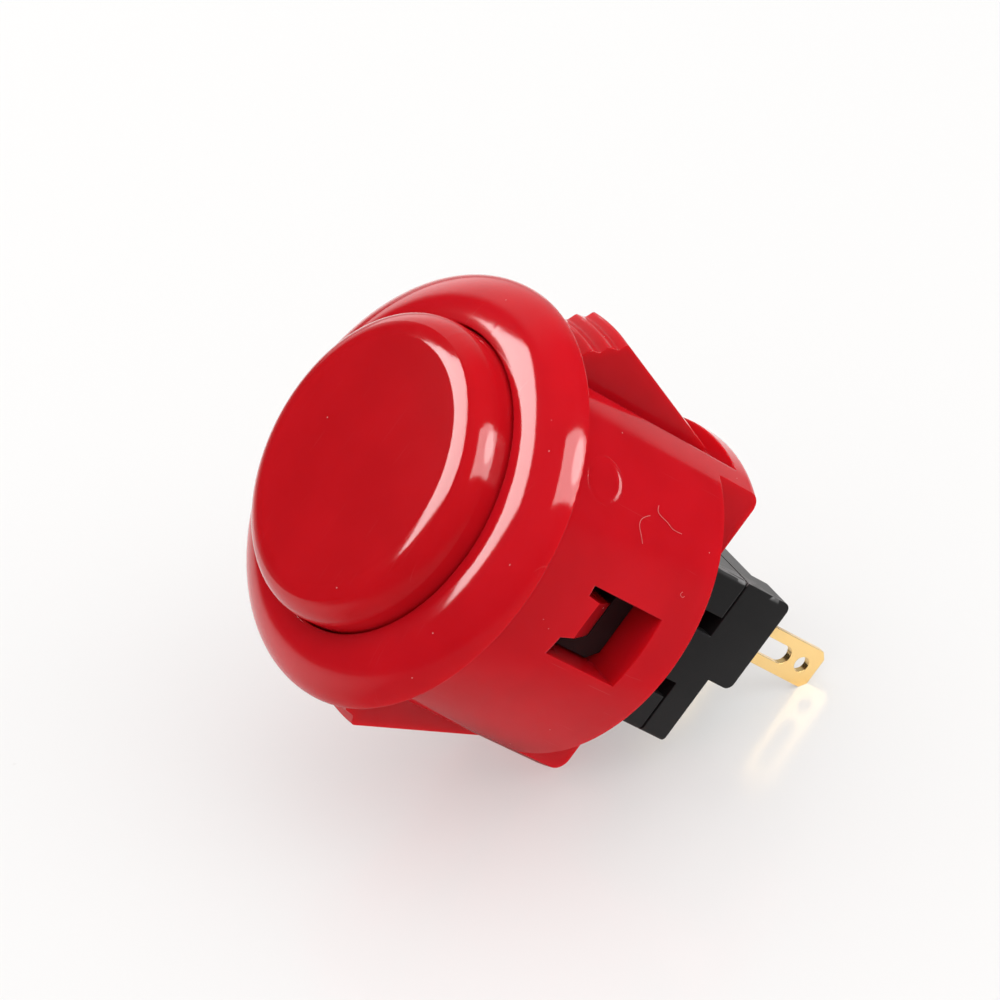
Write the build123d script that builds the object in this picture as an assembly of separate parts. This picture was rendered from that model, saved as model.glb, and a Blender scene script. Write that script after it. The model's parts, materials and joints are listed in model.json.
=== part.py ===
"""Snap-in push button for a 24 mm panel hole, with its own two-terminal microswitch.

Millimetres. The origin is the middle of the bezel's underside, which is the face that sits on the panel.
+Z runs along the plunger, out of the panel. The snap tongues face +X and -X, and the side windows -Y and +Y.
The near side is -Y, and what repeats on the far side is its mirror image.
"""
from build123d import *
import os
from math import asin, degrees, hypot, radians, sin

os.makedirs("parts", exist_ok=True)

# Housing: neck and body below the panel seat
NECK_DIAMETER = 23.8
NECK_HEIGHT = 1.5
BODY_DRAFT = 0.08
BODY_LENGTH = 14.7
BODY_WALL = 1.5
REAR_EDGE = 0.2

# Housing: bezel above the panel seat
BEZEL_DIAMETER = 28.2
BEZEL_HEIGHT = 2.9
BEZEL_EDGE = 0.35
BEZEL_LIP = 0.15

# Housing: floor that guides the plunger and keeps it in
FLOOR_DEPTH = 2.0
FLOOR_THICKNESS = 1.2

# Housing: snap tongues, each with a stair of teeth for panels of different thickness
TONGUE_WIDTH = 4.4
TONGUE_GAP = 1.3
TONGUE_START = 2.1
TONGUE_INSET = 1.65
TOOTH_COUNT = 3
TOOTH_ROOT = 0.9
TOOTH_REACH = 1.5
TOOTH_PITCH = 1.05
TOOTH_STEP = 0.6
TOOTH_DRAFT = 0.1
TOOTH_SLOPE = 0.3
TOOTH_ROUND = 0.25
WEDGE_TOE = 0.35
ROOT_THICKNESS = 1.1
ROOT_OFFSET = 0.55
ROOT_LENGTH = 2.0
ROOT_SEAT = 0.3
SLOT_PAST_BODY = 1.95
GUIDE_WALL = 1.5

# Housing: hollow on the inner side of each tongue, which keeps its walls even
CORE_CREST_WALL = 2.1
CORE_CREST_DROP = 0.7
CORE_END_WALL = 2.8
CORE_SIDE_WALL = 1.0

# Housing: rear ears on both sides of the switch
EAR_WIDTH = 9.7
EAR_LENGTH = 3.85
EAR_ROUND = 0.9

# Housing: round pad where the moulding gate was, low on the near side
GATE_DIAMETER = 3.1
GATE_LEVEL = 3.7
GATE_ANGLE = -48

# Housing: side windows, each with a ramped catch finger on its front edge
WINDOW_WIDTH = 5.1
WINDOW_FRONT = 5.55
WINDOW_REAR = 11.62
FINGER_LEFT = 1.2
FINGER_RIGHT = 1.85
FINGER_LENGTH = 0.85
FINGER_LEFT_TAPER = 0.3
FINGER_RIGHT_TAPER = 0.1
FINGER_TOE_LEFT = 1.1
FINGER_TOE_RIGHT = 1.35
FINGER_TOE_GAP = 0.15
FINGER_TOE_RISE = 0.1

# Plunger: cap and skirt
CAP_DIAMETER = 20.2
CAP_RISE = 2.95
CAP_DOME_WIDTH = 16.2
CAP_DOME_RADIUS = 196.0
CAP_SHOULDER_RADIUS = 2.9
CAP_SHOULDER_TILT = 22
CAP_TOP_WALL = 1.75
CAP_WALL = 1.5
TRAVEL = 2.4
BORE_CLEARANCE = 0.1
STOP_GAP = 0.1

# Plunger: guide tube with hooks and keys, ribs, and the boss over the switch
TUBE_DIAMETER = 12.4
TUBE_WALL = 1.2
TUBE_CLEARANCE = 0.3
HOOK_CATCH = 0.7
HOOK_LAND = 0.55
HOOK_GAP = 0.1
HOOK_ROOM = 0.1
HOOK_ARC = 50
SLIT_WIDTH = 0.6
KEY_WIDTH = 1.2
KEY_RISE = 1.0
KEY_CLEARANCE = 0.25
BOSS_DIAMETER = 4.4
BOSS_GAP = 0.05
RIB_WIDTH = 1.0
RIB_DEPTH = 3.0

# Microswitch: case
SWITCH_SEAT = 7.5
CASE_WIDTH = 11.58
CASE_OFFSET = 0.43
CASE_DEPTH = 15.2
CASE_LENGTH = 11.95
CASE_WALL = 1.2
CASE_ROUND = 0.4
SEAM_HEIGHT = 0.18
SEAM_DEPTH = 0.35
POCKET_CLEARANCE = 0.15
CHANNEL_WIDTH = 6.2
CHANNEL_OFFSET = 0.37
CHANNEL_DEPTH = 1.7

# Microswitch: base with terminal shrouds and clip arms
BASE_THICKNESS = 2.05
SHROUD_HEIGHT = 2.0
SHROUD_WIDTH = 6.67
SHROUD_THICKNESS = 2.5
SHROUD_ROUND = 0.55
CLIP_WIDTH = 3.67
CLIP_OFFSET = 0.27
CLIP_THICKNESS = 0.9
LUG_RISE = 1.3
LUG_LENGTH = 1.6
LUG_CORNER = 0.7
LUG_ARM_WIDTH = 1.2
LUG_ARM_LENGTH = 1.7
LUG_GAP = 0.12
LUG_SIDE_GAP = 0.15

# Microswitch: terminals
TERMINAL_WIDTH = 2.8
TERMINAL_THICKNESS = 0.5
TERMINAL_REACH = 9.55
TERMINAL_CHAMFER = 0.45
TERMINAL_FIT = 0.05
SHOULDER_WIDTH = 0.35
SHOULDER_HEIGHT = 0.9
SHOULDER_GAP = 0.65
WIRE_SLOT_WIDTH = 1.3
WIRE_SLOT_LENGTH = 3.9
WIRE_SLOT_FROM_HOLE = 1.2
DETENT_HOLE = 1.1
DETENT_FROM_TIP = 1.4
TAB_OVERHANG = 1.0
TAB_SIDE = 1.3

# Microswitch: contact rivets
CONTACT_INSET = 1.1
CONTACT_DIAMETER = 1.7
CONTACT_HEIGHT = 0.45
CONTACT_REST = 0.05
RIVET_SHANK = 0.8
RIVET_TAIL = 1.3
RIVET_TAIL_HEIGHT = 0.15
RIVET_CLEARANCE = 0.02

# Microswitch: actuator and bridge, which stops on the contacts while the actuator goes on by the overtravel
STEM_DIAMETER = 4.6
STEM_CLEARANCE = 0.2
STEM_SPARE = 0.2
STEM_CHAMFER = 0.2
FLANGE_DIAMETER = 7.0
FLANGE_THICKNESS = 1.0
REST_GAP = 0.05
TAIL_DIAMETER = 1.8
TAIL_CLEARANCE = 0.2
LIP_DIAMETER = 3.2
LIP_THICKNESS = 0.6
OVERTRAVEL = 1.2
BRIDGE_WIDTH = 2.6
BRIDGE_THICKNESS = 0.4

# Microswitch: springs
CONTACT_SPRING_LENGTH = 2.45
CONTACT_SPRING_DIAMETER = 3.4
CONTACT_SPRING_WIRE = 0.3
CONTACT_SPRING_TURNS = 3
RETURN_SPRING_DIAMETER = 2.7
RETURN_SPRING_WIRE = 0.36
RETURN_SPRING_TURNS = 7
SPRING_RECESS = 0.85
SPRING_PIN_DIAMETER = 1.4
SPRING_PIN_HEIGHT = 2.2
WIRE_SIDES = 6

# How close an edge's middle lies to the place that picks it
PICK_DISTANCE = 0.01

# Radii and half widths that several pieces share
neck_radius = NECK_DIAMETER / 2
rear_radius = neck_radius - BODY_DRAFT
bezel_radius = BEZEL_DIAMETER / 2
cap_radius = CAP_DIAMETER / 2
bore_radius = cap_radius + BORE_CLEARANCE
chamber_radius = neck_radius - BODY_WALL
tube_radius = TUBE_DIAMETER / 2
tongue_inner = neck_radius - TONGUE_INSET
slot_half = TONGUE_WIDTH / 2 + TONGUE_GAP
case_left = CASE_OFFSET - CASE_WIDTH / 2
case_right = CASE_OFFSET + CASE_WIDTH / 2
case_half_depth = CASE_DEPTH / 2
pocket_half_depth = case_half_depth + POCKET_CLEARANCE
lug_half = WINDOW_WIDTH / 2 - LUG_SIDE_GAP
lug_face = case_half_depth + LUG_RISE
terminal_outer = case_half_depth - SHROUD_THICKNESS
terminal_inner = terminal_outer - TERMINAL_THICKNESS
terminal_x = case_right - CASE_WALL - SHOULDER_GAP - SHOULDER_WIDTH - TERMINAL_WIDTH / 2
contact_y = terminal_inner - CONTACT_INSET

# Levels of the housing and the plunger
slot_end = -BODY_LENGTH - SLOT_PAST_BODY
wedge_end = slot_end + ROOT_LENGTH
ear_rear = -BODY_LENGTH - EAR_LENGTH
finger_end = -WINDOW_FRONT - FINGER_LENGTH
cap_top = BEZEL_HEIGHT + CAP_RISE
cap_under = cap_top - CAP_TOP_WALL
skirt_end = -FLOOR_DEPTH + TRAVEL + STOP_GAP
floor_under = -FLOOR_DEPTH - FLOOR_THICKNESS
hook_top = floor_under - HOOK_GAP

# Levels of the microswitch
case_front = -SWITCH_SEAT
case_rear = case_front - CASE_LENGTH
base_rear = case_rear - BASE_THICKNESS
shroud_rear = base_rear - SHROUD_HEIGHT
lug_rear = -WINDOW_REAR + LUG_GAP
lug_front = lug_rear + LUG_LENGTH
tube_end = case_front + TRAVEL + HOOK_ROOM
stem_top = case_front + TRAVEL + STEM_SPARE
cavity_front = case_front - CASE_WALL
flange_top = cavity_front - REST_GAP
flange_under = flange_top - FLANGE_THICKNESS
bridge_top = flange_under - CONTACT_SPRING_LENGTH
bridge_under = bridge_top - BRIDGE_THICKNESS
lip_top = bridge_under - REST_GAP
lip_under = lip_top - LIP_THICKNESS
moving_face = bridge_under - CONTACT_HEIGHT
fixed_face = moving_face - (TRAVEL - OVERTRAVEL) - CONTACT_REST
tab_top = fixed_face - CONTACT_HEIGHT
terminal_tip = base_rear - TERMINAL_REACH
spring_floor = case_rear - SPRING_RECESS


def block(x0, x1, y0, y1, z0, z1):
    """Box between two corners."""
    return Pos((x0 + x1) / 2, (y0 + y1) / 2, (z0 + z1) / 2) * Box(abs(x1 - x0), abs(y1 - y0), abs(z1 - z0))


def rod(radius, z0, z1):
    """Round bar along Z between two levels."""
    return Pos(0, 0, (z0 + z1) / 2) * Cylinder(radius, abs(z1 - z0))


def side_prism(points, y0, y1):
    """Outline in X and Z, drawn out along Y between two places."""
    face = make_face(Polyline(*[(x, y0, z) for x, z in points], close=True))
    return extrude(face, amount=y1 - y0, dir=(0, 1, 0))


def half_turn(solid):
    """The same form, turned round to the opposite side of the axis."""
    return Rot(0, 0, 180) * solid


def far_side(solid):
    """Mirror image of a form on the near side."""
    return mirror(solid, Plane.XZ)


def turned(curves, arc=360):
    """Solid of revolution about Z from joined curves of radius and level."""
    return revolve(make_face([Plane.XZ * curve for curve in curves]), Axis.Z, revolution_arc=arc)


def y_edges(solid, places):
    """Edges along Y that pass through the given X and Z places."""
    found = []
    for edge in solid.edges().filter_by(Axis.Y):
        middle = edge.center()
        if any(hypot(middle.X - x, middle.Z - z) < PICK_DISTANCE for x, z in places):
            found.append(edge)
    return found


def near_corners(face, places):
    """Corners of a flat outline that lie at the given places."""
    return [
        corner for corner in face.vertices()
        if any(hypot(corner.X - x, corner.Y - y) < PICK_DISTANCE for x, y in places)
    ]


def housing_shell():
    """Bezel, neck and drafted body as one turned form, with the plunger's bore and the chamber."""
    lip_radius = bore_radius + BEZEL_LIP
    crown = EllipticalCenterArc(
        (lip_radius, BEZEL_EDGE), bezel_radius - lip_radius, BEZEL_HEIGHT - BEZEL_EDGE, arc_size=90
    )
    lip = CenterArc((lip_radius, BEZEL_HEIGHT - BEZEL_LIP), BEZEL_LIP, 90, 90)
    sides = Polyline(
        (bore_radius, BEZEL_HEIGHT - BEZEL_LIP),
        (bore_radius, -FLOOR_DEPTH),
        (0, -FLOOR_DEPTH),
        (0, ear_rear),
        (rear_radius, ear_rear),
        (neck_radius, -NECK_HEIGHT),
        (neck_radius, 0),
        (bezel_radius - BEZEL_EDGE, 0),
        (bezel_radius, BEZEL_EDGE),
    )
    shell = turned([crown, lip, sides])
    circles = shell.edges().filter_by(lambda edge: edge.is_closed)
    shell = fillet(circles.sort_by(Axis.Z)[:1], EAR_ROUND)
    shell -= rod(chamber_radius, floor_under, case_front)
    shell -= rod(tube_radius + TUBE_CLEARANCE, -FLOOR_DEPTH, floor_under)
    key_half = KEY_WIDTH / 2 + KEY_CLEARANCE
    key_reach = tube_radius + KEY_RISE + KEY_CLEARANCE
    return shell - block(-key_half, key_half, -key_reach, key_reach, -FLOOR_DEPTH, floor_under)


def beside_ears():
    """Cutter for what lies beside the two ears, with a small slope round the body's rear edge."""
    half = EAR_WIDTH / 2
    slope_top = -BODY_LENGTH + REAR_EDGE + bezel_radius - rear_radius
    profile = Polyline(
        (0, ear_rear),
        (0, -BODY_LENGTH),
        (rear_radius - REAR_EDGE, -BODY_LENGTH),
        (bezel_radius, slope_top),
        (bezel_radius, ear_rear),
        close=True,
    )
    return turned([profile]) - block(-bezel_radius, bezel_radius, -half, half, ear_rear, slope_top)


def gate_pad():
    """Round pad that the moulding gate leaves: it has no draft, so only its rear edge stands proud."""
    outward = Plane((chamber_radius, 0, -GATE_LEVEL), z_dir=(1, 0, 0))
    plug = extrude(outward * Circle(GATE_DIAMETER / 2), amount=BODY_WALL)
    inner = neck_radius - BODY_WALL / 2
    ring = rod(neck_radius, -BODY_LENGTH, 0) - rod(inner, -BODY_LENGTH, 0)
    return Rot(0, 0, GATE_ANGLE) * (plug & ring)


def stair_outline():
    """Outer corners of a tongue's teeth, from the front edge down to the crest."""
    reach = neck_radius + TOOTH_REACH
    level = -TONGUE_START
    corners = [(neck_radius + TOOTH_ROOT, level), (reach, level - TOOTH_SLOPE)]
    for step in range(1, TOOTH_COUNT):
        level -= TOOTH_PITCH
        corners.append((reach + TOOTH_DRAFT, level))
        reach += TOOTH_DRAFT + TOOTH_STEP
        corners.append((reach, level - TOOTH_SLOPE))
    return corners


def tongue():
    """One snap tongue on +X: a turned stair of teeth, long wedge and thin root, cored from the inside."""
    teeth = stair_outline()
    crest_x, crest_z = teeth[-1]
    root_inner = tongue_inner - ROOT_OFFSET
    root_outer = root_inner + ROOT_THICKNESS
    outline = [(tongue_inner, -TONGUE_START)] + teeth + [
        (neck_radius - WEDGE_TOE, wedge_end),
        (root_outer, wedge_end),
        (root_outer, slot_end - ROOT_SEAT),
        (root_inner, slot_end - ROOT_SEAT),
        (root_inner, wedge_end + TOOTH_PITCH),
    ]
    half = TONGUE_WIDTH / 2
    profile = make_face(Polyline(*outline, close=True))
    profile = fillet(near_corners(profile, teeth), TOOTH_ROUND)
    wedge = revolve(Plane.XZ * profile, Axis.Z)
    wedge &= block(0, crest_x, -half, half, -TONGUE_START, slot_end - ROOT_SEAT)
    mouth = root_inner - ROOT_THICKNESS
    core = [
        (mouth, -TONGUE_START - CORE_END_WALL),
        (crest_x - CORE_CREST_WALL, crest_z - CORE_CREST_DROP),
        (crest_x - CORE_CREST_WALL, crest_z - 2 * CORE_CREST_DROP),
        (tongue_inner, wedge_end + CORE_END_WALL),
        (mouth, wedge_end + CORE_END_WALL),
    ]
    return wedge - side_prism(core, -half + CORE_SIDE_WALL, half - CORE_SIDE_WALL)


def catch_finger():
    """Finger on the near window's front edge: flush outside, then a ramp down to a toe before the lug."""
    toe_end = lug_front + FINGER_TOE_GAP
    toe_face = lug_face + FINGER_TOE_RISE
    plan = [
        (-FINGER_LEFT, -WINDOW_FRONT),
        (-FINGER_LEFT + FINGER_LEFT_TAPER, finger_end),
        (-FINGER_TOE_LEFT, toe_end),
        (FINGER_TOE_RIGHT, toe_end),
        (FINGER_RIGHT - FINGER_RIGHT_TAPER, finger_end),
        (FINGER_RIGHT, -WINDOW_FRONT),
    ]
    side = make_face(Polyline(
        (-FINGER_LEFT, -case_half_depth, -WINDOW_FRONT),
        (-FINGER_LEFT, -neck_radius, -WINDOW_FRONT),
        (-FINGER_LEFT, -neck_radius, finger_end),
        (-FINGER_LEFT, -toe_face, toe_end),
        (-FINGER_LEFT, -case_half_depth, toe_end),
        close=True,
    ))
    ramp = extrude(side, amount=FINGER_LEFT + FINGER_RIGHT, dir=(1, 0, 0))
    return ramp & side_prism(plan, -neck_radius, -case_half_depth)


def window():
    """Cutter for the near window, which leaves the catch finger standing on its front edge."""
    half = WINDOW_WIDTH / 2
    opening = block(-half, half, -neck_radius, -case_half_depth, -WINDOW_REAR, -WINDOW_FRONT)
    return opening - catch_finger()


def make_housing():
    body = housing_shell() - beside_ears() + gate_pad()
    body -= block(
        case_left - POCKET_CLEARANCE, case_right + POCKET_CLEARANCE,
        -pocket_half_depth, pocket_half_depth, case_front, ear_rear,
    )
    for side, wall in ((1, case_right), (-1, -case_left)):
        inside = wall + POCKET_CLEARANCE + GUIDE_WALL
        body -= block(side * inside, side * bezel_radius, -slot_half, slot_half, -NECK_HEIGHT, slot_end)
    body -= window()
    body -= far_side(window())
    body += tongue()
    return body + half_turn(tongue())


def plunger_cap():
    """Turned cap: a shallow dome that rolls over a soft shoulder and a tighter edge into the skirt."""
    dome_tilt = degrees(asin(CAP_DOME_WIDTH / 2 / CAP_DOME_RADIUS))
    dome = JernArc((0, cap_top), (1, 0), CAP_DOME_RADIUS, -dome_tilt)
    shoulder = JernArc(dome @ 1, dome % 1, CAP_SHOULDER_RADIUS, dome_tilt - CAP_SHOULDER_TILT)
    edge_radius = (cap_radius - (shoulder @ 1).X) / (1 - sin(radians(CAP_SHOULDER_TILT)))
    edge = JernArc(shoulder @ 1, shoulder % 1, edge_radius, CAP_SHOULDER_TILT - 90)
    skirt_inner = cap_radius - CAP_WALL
    inside = Polyline(
        edge @ 1,
        (cap_radius, skirt_end),
        (skirt_inner, skirt_end),
        (skirt_inner, cap_under),
        (0, cap_under),
        (0, cap_top),
    )
    return turned([dome, shoulder, edge, inside])


def snap_hook():
    """Hook on +X under the floor, with a lead-in slope, as a part of the guide tube's ring."""
    root = tube_radius - TUBE_WALL / 2
    profile = Polyline(
        (root, hook_top),
        (tube_radius + HOOK_CATCH, hook_top),
        (tube_radius + HOOK_CATCH, hook_top - HOOK_LAND),
        (tube_radius, tube_end),
        (root, tube_end),
        close=True,
    )
    return Rot(0, 0, -HOOK_ARC / 2) * turned([profile], HOOK_ARC)


def hook_slit():
    """Cutter for the slit beside a hook on +X, which lets the hook's wall spring inward."""
    cut = block(0, tube_radius + HOOK_CATCH, 0, SLIT_WIDTH, tube_end, skirt_end)
    return Rot(0, 0, HOOK_ARC / 2) * cut


def make_plunger():
    tube_inner = tube_radius - TUBE_WALL
    tube = rod(tube_radius, tube_end, cap_under)
    tube += snap_hook() + half_turn(snap_hook())
    for slit in (hook_slit(), far_side(hook_slit())):
        tube -= slit + half_turn(slit)
    key_half = KEY_WIDTH / 2
    key_reach = tube_radius + KEY_RISE
    tube += block(-key_half, key_half, -key_reach, key_reach, floor_under, cap_under)
    tube -= rod(tube_inner, tube_end, cap_under)
    rib = block(-tube_inner, tube_inner, -RIB_WIDTH / 2, RIB_WIDTH / 2, cap_under - RIB_DEPTH, cap_under)
    boss = rod(BOSS_DIAMETER / 2, stem_top + BOSS_GAP, cap_under)
    return plunger_cap() + tube + rib + Rot(0, 0, 90) * rib + boss


def clip_channel():
    """Room for a clip arm along the near side of the case."""
    left = CHANNEL_OFFSET - CHANNEL_WIDTH / 2
    floor = -case_half_depth + CHANNEL_DEPTH
    return block(left, left + CHANNEL_WIDTH, -case_half_depth, floor, case_rear, case_front)


def make_switch_case():
    case = block(case_left, case_right, -case_half_depth, case_half_depth, case_rear, case_front)
    case = fillet(case.edges().filter_by(Axis.Z), CASE_ROUND)
    reach = terminal_outer + TERMINAL_FIT
    case -= block(
        case_left + CASE_WALL, case_right - CASE_WALL, -reach, reach, case_rear, cavity_front
    )
    case -= rod(STEM_DIAMETER / 2 + STEM_CLEARANCE, cavity_front, case_front)
    case -= clip_channel() + far_side(clip_channel())
    return case - seam()


def seam():
    """Cutter for the fine groove round the case where it meets the base."""
    top = case_rear + SEAM_HEIGHT
    across = case_half_depth - SEAM_DEPTH
    groove = block(case_left, case_right, -case_half_depth, case_half_depth, case_rear, top)
    return groove - block(case_left + SEAM_DEPTH, case_right - SEAM_DEPTH, -across, across, case_rear, top)


def shroud():
    """Raised wall that shields the near terminal, with rounded rear corners."""
    left = case_right - SHROUD_WIDTH
    inside = -case_half_depth + SHROUD_THICKNESS
    wall = block(left, case_right, -case_half_depth, inside, shroud_rear, case_rear)
    return fillet(y_edges(wall, [(left, shroud_rear), (case_right, shroud_rear)]), SHROUD_ROUND)


def clip():
    """Near clip arm: it runs forward past the case and ends in an L-shaped lug that snaps into the window."""
    left = CLIP_OFFSET - CLIP_WIDTH / 2
    inside = -case_half_depth + CLIP_THICKNESS
    arm = block(left, left + CLIP_WIDTH, -case_half_depth, inside, case_rear, lug_front)
    lug = [
        (-lug_half, lug_rear + LUG_CORNER),
        (-lug_half + LUG_CORNER, lug_rear),
        (lug_half, lug_rear),
        (lug_half, lug_front),
        (-lug_half + LUG_ARM_WIDTH, lug_front),
        (-lug_half + LUG_ARM_WIDTH, lug_front + LUG_ARM_LENGTH),
        (-lug_half, lug_front + LUG_ARM_LENGTH),
    ]
    return arm + side_prism(lug, -lug_face, inside)


def terminal_slot():
    """Cutter for the near terminal's blade through the base."""
    half = TERMINAL_WIDTH / 2 + TERMINAL_FIT
    outside = -terminal_outer - TERMINAL_FIT
    inside = -terminal_inner + TERMINAL_FIT
    return block(terminal_x - half, terminal_x + half, outside, inside, base_rear, case_rear)


def make_switch_base():
    plate = block(case_left, case_right, -case_half_depth, case_half_depth, base_rear, case_rear)
    plate = fillet(plate.edges().filter_by(Axis.Z), CASE_ROUND)
    base = plate + shroud() + far_side(shroud())
    base += clip() + far_side(clip())
    base -= terminal_slot() + far_side(terminal_slot())
    base -= rod(RETURN_SPRING_DIAMETER / 2 + RETURN_SPRING_WIRE, spring_floor, case_rear)
    return base + rod(SPRING_PIN_DIAMETER / 2, spring_floor, spring_floor + SPRING_PIN_HEIGHT)


def make_terminal():
    """Near terminal: blade with wire slot and detent hole, shoulders on the base, and a bent contact tab."""
    left = terminal_x - TERMINAL_WIDTH / 2
    right = terminal_x + TERMINAL_WIDTH / 2
    blade = block(left, right, -terminal_outer, -terminal_inner, terminal_tip, tab_top)
    blade = chamfer(blade.edges().filter_by(Axis.Y).sort_by(Axis.Z)[:2], TERMINAL_CHAMFER)
    blade += block(
        left - SHOULDER_WIDTH, right + SHOULDER_WIDTH,
        -terminal_outer, -terminal_inner, case_rear, case_rear + SHOULDER_HEIGHT,
    )
    tab_under = tab_top - TERMINAL_THICKNESS
    blade += block(-TAB_SIDE, right, -terminal_outer, -contact_y + TAB_OVERHANG, tab_under, tab_top)
    hole_z = terminal_tip + DETENT_FROM_TIP
    slot_z = hole_z + WIRE_SLOT_FROM_HOLE + WIRE_SLOT_LENGTH / 2
    across = Plane((terminal_x, -terminal_outer, 0), x_dir=(0, 0, 1), z_dir=(0, 1, 0))
    openings = Pos(hole_z, 0) * Circle(DETENT_HOLE / 2)
    openings += Pos(slot_z, 0) * SlotOverall(WIRE_SLOT_LENGTH, WIRE_SLOT_WIDTH)
    blade -= extrude(across * openings, amount=TERMINAL_THICKNESS)
    return blade - Pos(0, -contact_y, 0) * rod(RIVET_SHANK / 2 + RIVET_CLEARANCE, tab_under, tab_top)


def rivet(face, seat, thickness, toward):
    """Near contact rivet: head on its seat, shank through the plate and a formed tail behind it."""
    back = seat - toward * thickness
    tail = back - toward * RIVET_TAIL_HEIGHT
    pin = rod(CONTACT_DIAMETER / 2, face, seat)
    pin += rod(RIVET_SHANK / 2, seat, back)
    pin += rod(RIVET_TAIL / 2, back, tail)
    return Pos(0, -contact_y, 0) * pin


def make_bridge():
    """Moving plate on the actuator's tail, from one contact across to the other."""
    shape = Rot(0, 0, 90) * SlotOverall(2 * contact_y + BRIDGE_WIDTH, BRIDGE_WIDTH)
    shape += Circle(CONTACT_SPRING_DIAMETER / 2 + CONTACT_SPRING_WIRE)
    plate = Pos(0, 0, bridge_under) * extrude(shape, amount=BRIDGE_THICKNESS)
    plate -= rod(TAIL_DIAMETER / 2 + TAIL_CLEARANCE, bridge_under, bridge_top)
    hole = Pos(0, -contact_y, 0) * rod(RIVET_SHANK / 2 + RIVET_CLEARANCE, bridge_under, bridge_top)
    return plate - hole - far_side(hole)


def make_actuator():
    stem = rod(STEM_DIAMETER / 2, flange_under, stem_top)
    stem = chamfer(stem.edges().sort_by(Axis.Z)[-1:], STEM_CHAMFER)
    stem += rod(FLANGE_DIAMETER / 2, flange_under, flange_top)
    stem += rod(TAIL_DIAMETER / 2, lip_under, flange_under)
    return stem + rod(LIP_DIAMETER / 2, lip_under, lip_top)


def coil(bottom, top, diameter, wire, turns):
    """Coil spring between two flat seats, with the wire's round section drawn by a few flats."""
    height = top - bottom - wire
    path = Helix(height / turns, height, diameter / 2)
    start = Plane(path @ 0, z_dir=path % 0)
    spring = sweep(start * RegularPolygon(wire / 2, WIRE_SIDES), path=path, is_frenet=True)
    return Pos(0, 0, bottom + wire / 2) * spring


near_terminal = make_terminal()
near_fixed = rivet(fixed_face, tab_top, TERMINAL_THICKNESS, 1)
near_moving = rivet(moving_face, bridge_under, BRIDGE_THICKNESS, -1)
nodes = {
    "housing": make_housing(),
    "plunger": make_plunger(),
    "switch_case": make_switch_case(),
    "switch_base": make_switch_base(),
    "terminal_near": near_terminal,
    "terminal_far": far_side(near_terminal),
    "fixed_contact_near": near_fixed,
    "fixed_contact_far": far_side(near_fixed),
    "actuator": make_actuator(),
    "contact_bridge": make_bridge(),
    "moving_contact_near": near_moving,
    "moving_contact_far": far_side(near_moving),
    "contact_spring": coil(
        bridge_top, flange_under, CONTACT_SPRING_DIAMETER, CONTACT_SPRING_WIRE, CONTACT_SPRING_TURNS
    ),
    "return_spring": coil(
        spring_floor, lip_under, RETURN_SPRING_DIAMETER, RETURN_SPRING_WIRE, RETURN_SPRING_TURNS
    ),
}
for name, solid in nodes.items():
    export_step(solid, f"parts/{name}.step")
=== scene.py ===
# %% [markdown]
# # A snap-in push button, dressed for the studio
#
# The button's solids come from a CAD model: a red housing, a red cap that the finger presses, and a black
# microswitch with two gold terminals. They are exact, so nothing here changes their shape. This lesson
# gives them what CAD leaves out: plastics with a moulded skin, plated metal, dust and lint, a floor and
# light.
#
# Everything is in metres, in the CAD model's own axes. +Z runs out of the button's face.

# %% Load the solids
import json
import math

import bpy
from mathutils import Matrix, Vector


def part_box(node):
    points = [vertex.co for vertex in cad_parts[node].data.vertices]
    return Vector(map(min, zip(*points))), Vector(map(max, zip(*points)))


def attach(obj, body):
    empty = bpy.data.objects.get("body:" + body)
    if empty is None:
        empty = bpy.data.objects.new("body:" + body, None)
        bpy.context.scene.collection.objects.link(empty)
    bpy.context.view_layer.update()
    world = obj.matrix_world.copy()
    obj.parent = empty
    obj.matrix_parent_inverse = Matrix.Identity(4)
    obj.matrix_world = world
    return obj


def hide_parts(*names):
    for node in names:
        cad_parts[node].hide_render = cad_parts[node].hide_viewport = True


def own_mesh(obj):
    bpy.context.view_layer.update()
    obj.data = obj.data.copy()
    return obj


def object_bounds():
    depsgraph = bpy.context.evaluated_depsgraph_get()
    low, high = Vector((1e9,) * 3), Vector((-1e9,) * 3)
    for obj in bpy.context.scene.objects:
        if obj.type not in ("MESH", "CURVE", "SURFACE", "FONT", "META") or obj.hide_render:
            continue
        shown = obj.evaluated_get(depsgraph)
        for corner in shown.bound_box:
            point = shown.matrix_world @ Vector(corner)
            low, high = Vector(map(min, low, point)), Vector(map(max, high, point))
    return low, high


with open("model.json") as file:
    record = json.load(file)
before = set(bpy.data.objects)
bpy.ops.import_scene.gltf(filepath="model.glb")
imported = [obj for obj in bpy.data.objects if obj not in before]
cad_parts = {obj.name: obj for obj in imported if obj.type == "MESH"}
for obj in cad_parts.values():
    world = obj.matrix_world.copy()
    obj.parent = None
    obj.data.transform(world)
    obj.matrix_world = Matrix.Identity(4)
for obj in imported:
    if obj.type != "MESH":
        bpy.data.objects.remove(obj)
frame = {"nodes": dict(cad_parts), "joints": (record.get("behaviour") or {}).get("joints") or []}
cad_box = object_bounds()
nodes = frame["nodes"]
scene = bpy.context.scene
MM = 0.001
print("solids:", ", ".join(sorted(nodes)))
print("box in mm:", [[round(v / MM, 2) for v in corner] for corner in cad_box])

# %% [markdown]
# ## Colour
#
# The Standard view shows a colour about as it is written. A film-like view would lift the dark tones and
# grey the red, and a strongly coloured plastic is the first thing to suffer from that.

# %% Colour management
scene.view_settings.view_transform = "Standard"
print("view transform:", scene.view_settings.view_transform)

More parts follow.
